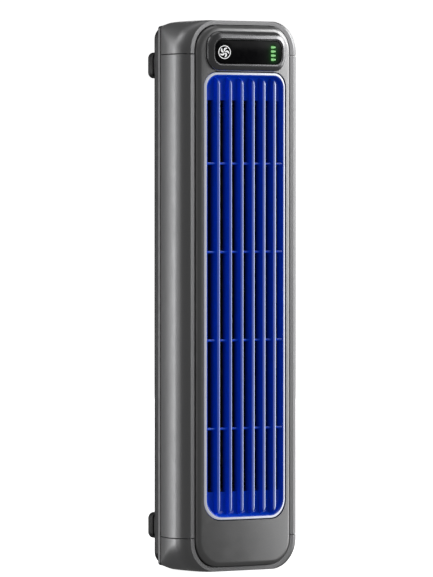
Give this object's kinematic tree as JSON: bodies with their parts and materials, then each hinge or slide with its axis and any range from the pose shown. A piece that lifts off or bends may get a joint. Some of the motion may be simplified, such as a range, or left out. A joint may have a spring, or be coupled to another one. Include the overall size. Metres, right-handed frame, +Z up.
{
  "type": "tower fan",
  "caption": "Slim rechargeable tower fan: bulged grey casing with end caps, crowned front panel with upright louvres and display pod, cross-flow wheel inside, slotted rear cover on round feet.",
  "frame": {"origin": "on the floor, under the middle of the object's box", "axes": "+Z up, the louvred front faces -Y, +X to the right as seen from the front"},
  "size_m": [0.08, 0.0528, 0.3],
  "materials": {
    "casing_paint": "satin gunmetal metallic paint over moulded plastic",
    "panel_paint": "satin gunmetal metallic paint over moulded plastic",
    "rear_paint": "satin gunmetal metallic paint over moulded plastic",
    "grille_blue": "glossy deep blue moulded plastic",
    "trim_dark": "glossy dark grey moulded trim",
    "lens_black": "polished black lens with a white fan pictogram",
    "lamp_green": "glowing green light guide",
    "board_green": "solder mask green board",
    "inner_black": "plain black moulded plastic",
    "plunger_red": "small moulded plunger",
    "rubber_black": "matt black rubber",
    "steel": "turned steel",
    "duct_blue": "dark blue moulded plastic",
    "armature_copper": "steel laminations wound with enamelled copper",
    "plated_steel": "nickel plated steel",
    "magnet_grey": "dark ferrite",
    "bush_bronze": "sintered bronze",
    "cell_green": "shrink-sleeved cylindrical cell",
    "lead_red": "red insulated lead",
    "lead_yellow": "yellow insulated lead",
    "ribbon_grey": "grey ribbon cable"
  },
  "bodies": {
    "housing": {"top_cap": "casing_paint", "bottom_cap": "casing_paint", "left_side_shell": "casing_paint", "right_side_shell": "casing_paint", "front_panel": "panel_paint", "rear_cover": "rear_paint", "outlet_grille": "grille_blue", "display_bezel": "trim_dark", "display_lens": "lens_black", "indicator_light_guide": "lamp_green", "display_board": "board_green", "control_board": "board_green", "switch_body": "inner_black", "blower_top_plate": "inner_black", "blower_bottom_plate": "inner_black", "motor_end_bell": "inner_black", "charge_socket_tongue": "inner_black", "battery_retainer_lower": "inner_black", "battery_retainer_upper": "inner_black", "rear_foot_lower_left": "rubber_black", "rear_foot_upper_left": "rubber_black", "rear_foot_lower_right": "rubber_black", "rear_foot_upper_right": "rubber_black", "bearing_mount": "rubber_black", "cover_screw_lower_left": "steel", "cover_screw_upper_left": "steel", "cover_screw_lower_right": "steel", "cover_screw_upper_right": "steel", "motor_screw_left": "steel", "motor_screw_right": "steel", "blower_scroll": "duct_blue", "blower_tongue": "duct_blue", "motor_can": "plated_steel", "charge_socket_shell": "plated_steel", "motor_magnet_ring": "magnet_grey", "bearing_bush": "bush_bronze", "battery_cell_lower": "cell_green", "battery_cell_upper": "cell_green", "battery_lead": "lead_red", "motor_lead": "lead_yellow", "display_ribbon": "ribbon_grey"},
    "rotor": {"fan_wheel": "inner_black", "top_pivot_pin": "steel", "drive_hub": "inner_black", "motor_shaft": "steel", "motor_armature": "armature_copper"},
    "key": {"power_key": "lens_black", "switch_plunger": "plunger_red"}
  },
  "joints": [
    {"name": "fan_spin", "type": "hinge", "parent": "housing", "child": "rotor", "pos_m": [0, -0.00134, 0.15], "axis": [0, 0, 1], "continuous": true},
    {"name": "key_press", "type": "slide", "parent": "housing", "child": "key", "axis": [0, 1, 0], "range_m": [0, 0.0005], "stiffness_N_per_m": 3000}
  ]
}
